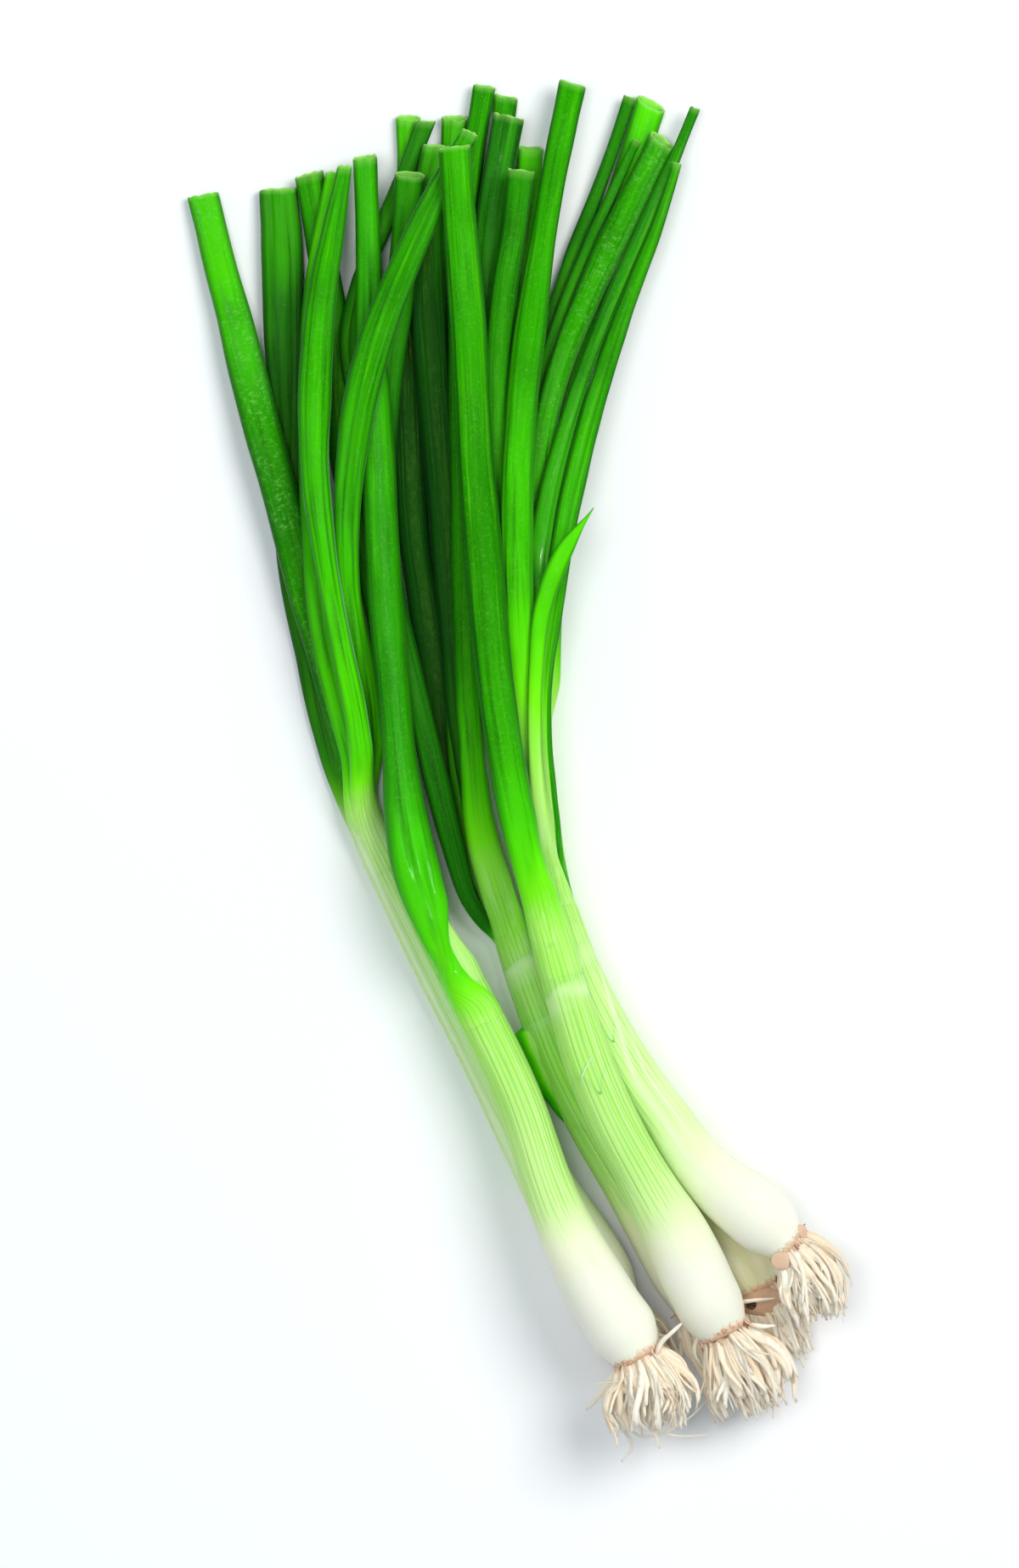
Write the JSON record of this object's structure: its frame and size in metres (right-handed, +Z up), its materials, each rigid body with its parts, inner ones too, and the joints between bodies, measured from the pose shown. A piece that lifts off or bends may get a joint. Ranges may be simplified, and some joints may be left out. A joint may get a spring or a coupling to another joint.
{
  "type": "spring onion bunch",
  "caption": "Loose bunch of trimmed spring onions lying down, with white bulbs, root tufts and long green leaves cut square.",
  "frame": {"origin": "on the surface that the bunch lies on, under the middle of its bounding box", "axes": "+Z up; +Y along the bunch towards the cut leaf tips, so the roots are at -Y; +X to the right, seen from above with the leaves pointing away"},
  "size_m": [0.1546, 0.3172, 0.0337],
  "materials": {
    "leaf": "satin, waxy, with fine ribs along the leaf",
    "bulb": "smooth and moist, ivory on the bulb, yellow-green with darker veins on the stem",
    "roots": "matt, fibrous"
  },
  "bodies": {
    "root": {"bulb_left": "bulb", "roots_left": "roots", "leaf_left_front": "leaf", "leaf_left_left": "leaf", "leaf_left_right": "leaf", "bulb_middle": "bulb", "roots_middle": "roots", "leaf_middle_front": "leaf", "leaf_middle_back_left": "leaf", "leaf_middle_back_right": "leaf", "bulb_right": "bulb", "roots_right": "roots", "leaf_right_front": "leaf", "leaf_right_side": "leaf", "leaf_right_back": "leaf", "leaf_right_young": "leaf", "bulb_lower_left": "bulb", "roots_lower_left": "roots", "leaf_lower_left_outer": "leaf", "leaf_lower_left_long": "leaf", "leaf_lower_left_back": "leaf", "leaf_lower_left_front": "leaf", "leaf_lower_left_crossing": "leaf", "bulb_lower_middle": "bulb", "roots_lower_middle": "roots", "leaf_lower_middle_front": "leaf", "leaf_lower_middle_thin": "leaf", "leaf_lower_middle_broad": "leaf", "leaf_lower_middle_dark": "leaf", "leaf_lower_middle_side": "leaf", "bulb_lower_right": "bulb", "roots_lower_right": "roots", "leaf_lower_right_left": "leaf", "leaf_lower_right_back_left": "leaf", "leaf_lower_right_front": "leaf", "leaf_lower_right_thin": "leaf", "leaf_lower_right_narrow": "leaf", "leaf_lower_right_back_right": "leaf"}
  },
  "joints": []
}
